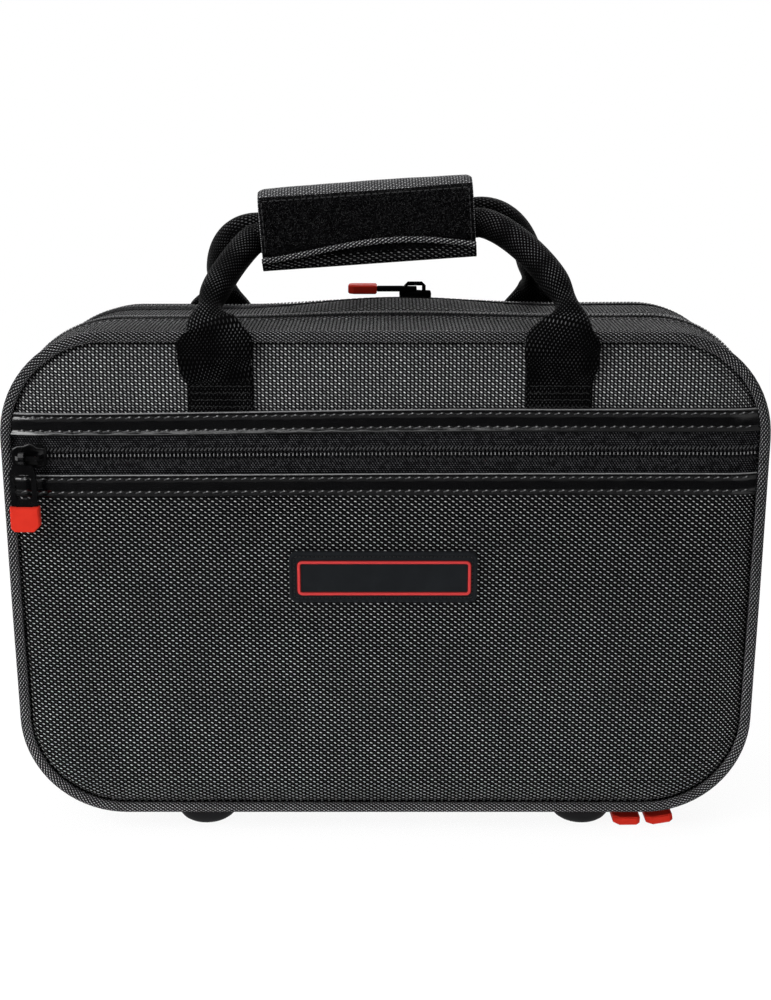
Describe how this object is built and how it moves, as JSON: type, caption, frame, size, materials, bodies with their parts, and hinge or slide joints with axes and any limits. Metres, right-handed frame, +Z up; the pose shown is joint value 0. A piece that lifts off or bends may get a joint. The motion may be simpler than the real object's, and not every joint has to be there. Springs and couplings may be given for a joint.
{
  "type": "clarinet case",
  "caption": "Soft-sided zipped clarinet case standing upright: padded shells, piped edges, flat front pocket, webbing handles held in a padded wrap, rubber feet.",
  "frame": {"origin": "on the floor under the middle of the case, standing on its four feet", "axes": "+X to the right seen from the front (the side with the pocket), +Y from the front to the rear, +Z up"},
  "size_m": [0.3608, 0.1267, 0.3138],
  "materials": {
    "nylon": "coarse charcoal woven nylon with light grey dots",
    "webbing": "black ribbed webbing",
    "zip_tape": "black woven tape with a nylon coil",
    "trim": "glossy black imitation leather with two rows of stitches",
    "metal": "satin black plated zinc",
    "red_rubber": "matt bright red soft plastic",
    "black_rubber": "matt black rubber",
    "foam": "rigid foam lined with short black plush",
    "plush": "soft black plush over foam",
    "fuzzy": "matt black hook-and-loop pile"
  },
  "bodies": {
    "base": {"rear_panel": "nylon", "rear_pocket_wall": "nylon", "rear_piping": "nylon", "base_gusset": "nylon", "base_zip_tape": "zip_tape", "instrument_tray": "foam", "hinge_strip": "nylon", "top_zip_front_tape": "zip_tape", "top_zip_rear_tape": "zip_tape", "rear_handle_tab_left": "webbing", "rear_handle_tab_right": "webbing", "rear_foot_left": "black_rubber", "rear_foot_right": "black_rubber"},
    "lid": {"front_upper_panel": "nylon", "front_pocket_panel": "nylon", "pocket_inner_wall": "nylon", "front_piping": "nylon", "upper_trim_strip": "trim", "lower_trim_strip": "trim", "pocket_zip_upper_tape": "zip_tape", "pocket_zip_lower_tape": "zip_tape", "badge": "black_rubber", "badge_frame": "red_rubber", "front_handle_tab_left": "webbing", "front_handle_tab_right": "webbing", "lid_gusset": "nylon", "lid_zip_tape": "zip_tape", "lid_foam_shell": "foam", "lid_plush_pad": "plush", "front_foot_left": "black_rubber", "front_foot_right": "black_rubber", "main_left_slider": "metal"},
    "pocket_slider": {"pocket_slider": "metal"},
    "pocket_pull": {"pocket_pull": "metal", "pocket_pull_cap": "red_rubber"},
    "main_left_pull": {"main_left_pull": "metal", "main_left_pull_cap": "red_rubber"},
    "main_right_slider": {"main_right_slider": "metal"},
    "main_right_pull": {"main_right_pull": "metal", "main_right_pull_cap": "red_rubber"},
    "top_slider": {"top_slider": "metal"},
    "top_pull": {"top_pull": "metal", "top_pull_cap": "red_rubber"},
    "front_handle": {"front_handle_loop": "webbing"},
    "rear_handle": {"rear_handle_loop": "webbing", "wrap_sleeve": "nylon", "wrap_loop_panel": "fuzzy"},
    "wrap_flap": {"wrap_flap": "nylon", "wrap_hook_strip": "fuzzy"}
  },
  "joints": [
    {"name": "lid_hinge", "type": "hinge", "parent": "base", "child": "lid", "pos_m": [0, -0.001, 0.008], "axis": [1, 0, 0], "range_deg": [0, 110], "deforming": ["hinge_strip", "base_zip_tape", "lid_zip_tape", "wrap_sleeve", "wrap_loop_panel", "wrap_flap", "wrap_hook_strip"]},
    {"name": "front_handle_swing", "type": "hinge", "parent": "lid", "child": "front_handle", "pos_m": [0, -0.0579, 0.247], "axis": [1, 0, 0], "range_deg": [0, 205], "deforming": ["wrap_sleeve", "wrap_loop_panel", "wrap_flap", "wrap_hook_strip"]},
    {"name": "rear_handle_swing", "type": "hinge", "parent": "base", "child": "rear_handle", "pos_m": [0, 0.0619, 0.2482], "axis": [-1, 0, 0], "range_deg": [0, 205], "deforming": ["wrap_sleeve", "wrap_loop_panel", "wrap_flap", "wrap_hook_strip"]},
    {"name": "wrap_flap_peel", "type": "hinge", "parent": "rear_handle", "child": "wrap_flap", "pos_m": [-0.0073, -0.0104, 0.27435], "axis": [0.9976, 0, 0.0698], "range_deg": [0, 120]},
    {"name": "pocket_slider_travel", "type": "slide", "parent": "lid", "child": "pocket_slider", "axis": [1, 0, 0], "range_m": [0, 0.31]},
    {"name": "pocket_pull_swing", "type": "hinge", "parent": "pocket_slider", "child": "pocket_pull", "pos_m": [-0.1637, -0.0611, 0.1908], "axis": [-1, 0, 0], "range_deg": [0, 170]},
    {"name": "main_right_slider_travel", "type": "hinge", "parent": "lid", "child": "main_right_slider", "pos_m": [0.126, -0.001, 0.061], "axis": [0, -1, 0], "range_deg": [0, 81]},
    {"name": "main_right_pull_swing", "type": "hinge", "parent": "main_right_slider", "child": "main_right_pull", "pos_m": [0.13473, -0.001, 0.00589], "axis": [0.9875, 0.0175, 0.1564], "range_deg": [0, 60]},
    {"name": "main_left_pull_swing", "type": "hinge", "parent": "lid", "child": "main_left_pull", "pos_m": [0.119, -0.001, 0.0052], "axis": [0.9998, 0.0175, 0], "range_deg": [0, 60]},
    {"name": "top_slider_travel", "type": "slide", "parent": "base", "child": "top_slider", "axis": [1, 0, 0], "range_m": [-0.04, 0.04]},
    {"name": "top_pull_swing", "type": "hinge", "parent": "top_slider", "child": "top_pull", "pos_m": [0.015, 0.043, 0.25618], "axis": [0, 1, 0], "range_deg": [0, 170]}
  ]
}
